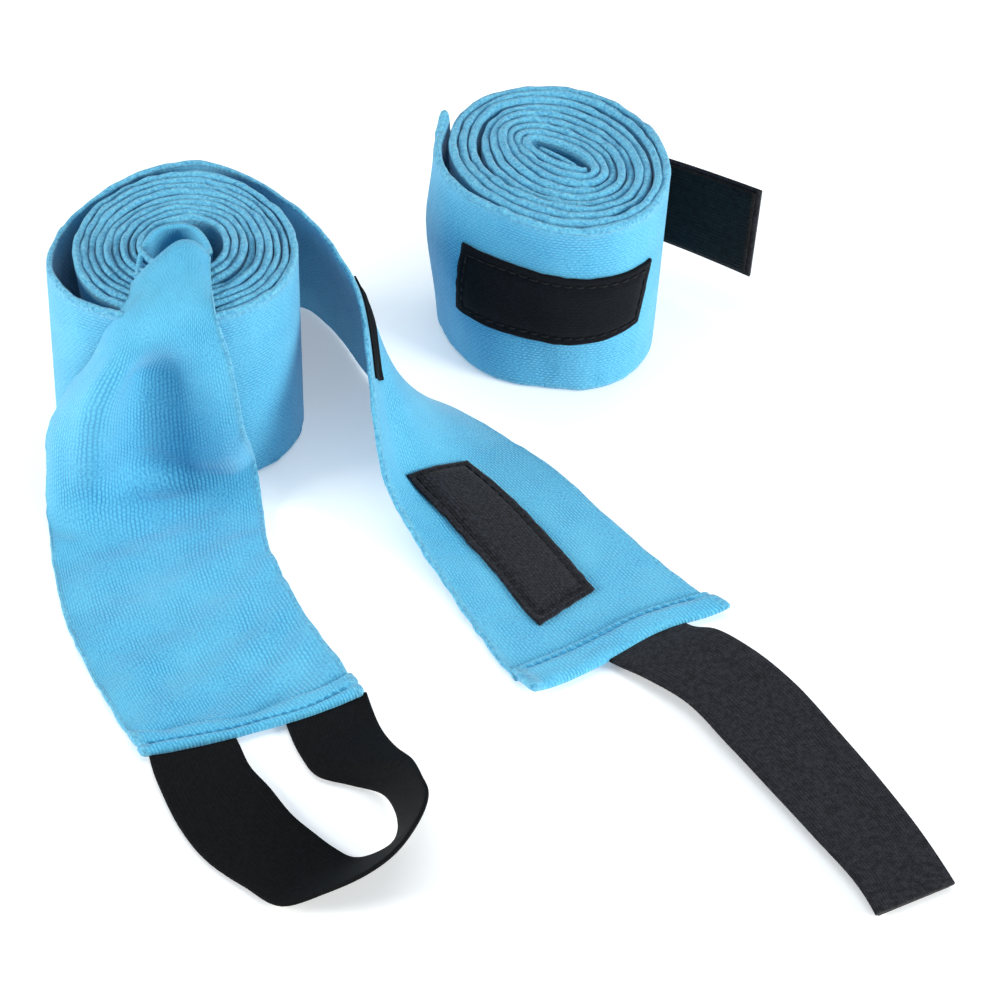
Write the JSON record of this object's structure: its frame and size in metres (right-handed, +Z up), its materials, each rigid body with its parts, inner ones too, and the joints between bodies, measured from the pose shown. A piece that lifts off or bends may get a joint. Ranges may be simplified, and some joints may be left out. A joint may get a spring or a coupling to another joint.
{
  "type": "hand wrap",
  "caption": "Pair of sky-blue elastic hand wraps with black thumb loops, loop patches and hook straps: one rolled up, one part unrolled with both ends drawn out.",
  "frame": {"origin": "middle of the pair's footprint, on the surface that both wraps stand on", "axes": "+Z up, +Y from the loose ends towards the two standing rolls, +X towards the rolled wrap's side"},
  "size_m": [0.1862, 0.2112, 0.0585],
  "materials": {
    "band_weave": "woven cotton and elastane, matte",
    "black_elastic": "woven elastic tape, slight sheen",
    "black_webbing": "woven nylon tape back, satin",
    "hook_tape": "moulded hook face, speckled gloss",
    "loop_tape": "brushed loop face, matte",
    "label_weave": "fine woven label, satin",
    "black_thread": "sewing thread",
    "blue_thread": "sewing thread"
  },
  "bodies": {
    "open_wrap": {"open_roll": "band_weave", "open_loose_turn": "band_weave", "open_outer_tail": "band_weave", "open_loop_patch": "loop_tape", "open_patch_stitching": "black_thread", "open_label": "label_weave", "open_inner_tail": "band_weave"},
    "closure_end": {"open_closure_end": "band_weave", "open_closure_hem": "band_weave", "open_closure_stitching": "blue_thread"},
    "hook_strap": {"open_hook_strap": "black_webbing", "open_hook_field": "hook_tape"},
    "thumb_end": {"open_thumb_end": "band_weave", "open_thumb_hem": "band_weave", "open_thumb_stitching": "blue_thread"},
    "thumb_loop": {"open_thumb_loop": "black_elastic"},
    "rolled_wrap": {"rolled_roll": "band_weave", "rolled_closure_hem": "band_weave", "rolled_closure_stitching": "blue_thread", "rolled_loop_patch": "loop_tape", "rolled_patch_stitching": "black_thread", "rolled_label": "label_weave", "rolled_strap_wrapped": "black_webbing", "rolled_thumb_hem": "band_weave", "rolled_thumb_loop": "black_elastic", "rolled_thumb_stitching": "blue_thread"},
    "rolled_strap": {"rolled_strap_end": "black_webbing", "rolled_hook_field": "hook_tape"}
  },
  "joints": [
    {"name": "closure_end_lift", "type": "hinge", "parent": "open_wrap", "child": "closure_end", "pos_m": [0.0231, -0.0197, 0.0023], "axis": [-0.8769, -0.4807, 0], "range_deg": [0, 40]},
    {"name": "hook_strap_lift", "type": "hinge", "parent": "closure_end", "child": "hook_strap", "pos_m": [0.0346, -0.0268, 0.0037], "axis": [-0.8816, -0.472, 0], "range_deg": [0, 120]},
    {"name": "thumb_end_lift", "type": "hinge", "parent": "open_wrap", "child": "thumb_end", "pos_m": [-0.069, 0.005, 0.0042], "axis": [-0.9986, -0.0527, 0], "range_deg": [0, 40]},
    {"name": "thumb_loop_lift", "type": "hinge", "parent": "thumb_end", "child": "thumb_loop", "pos_m": [-0.0452, -0.0538, 0.0037], "axis": [-0.9262, -0.377, 0], "range_deg": [0, 140]},
    {"name": "rolled_wrap_lift", "type": "slide", "parent": "open_wrap", "child": "rolled_wrap", "axis": [0, 0, 1], "range_m": [0, 0.1]},
    {"name": "rolled_strap_peel", "type": "hinge", "parent": "rolled_wrap", "child": "rolled_strap", "pos_m": [0.0247, 0.1023, 0.0225], "axis": [0, 0, 1], "range_deg": [0, 80]}
  ]
}
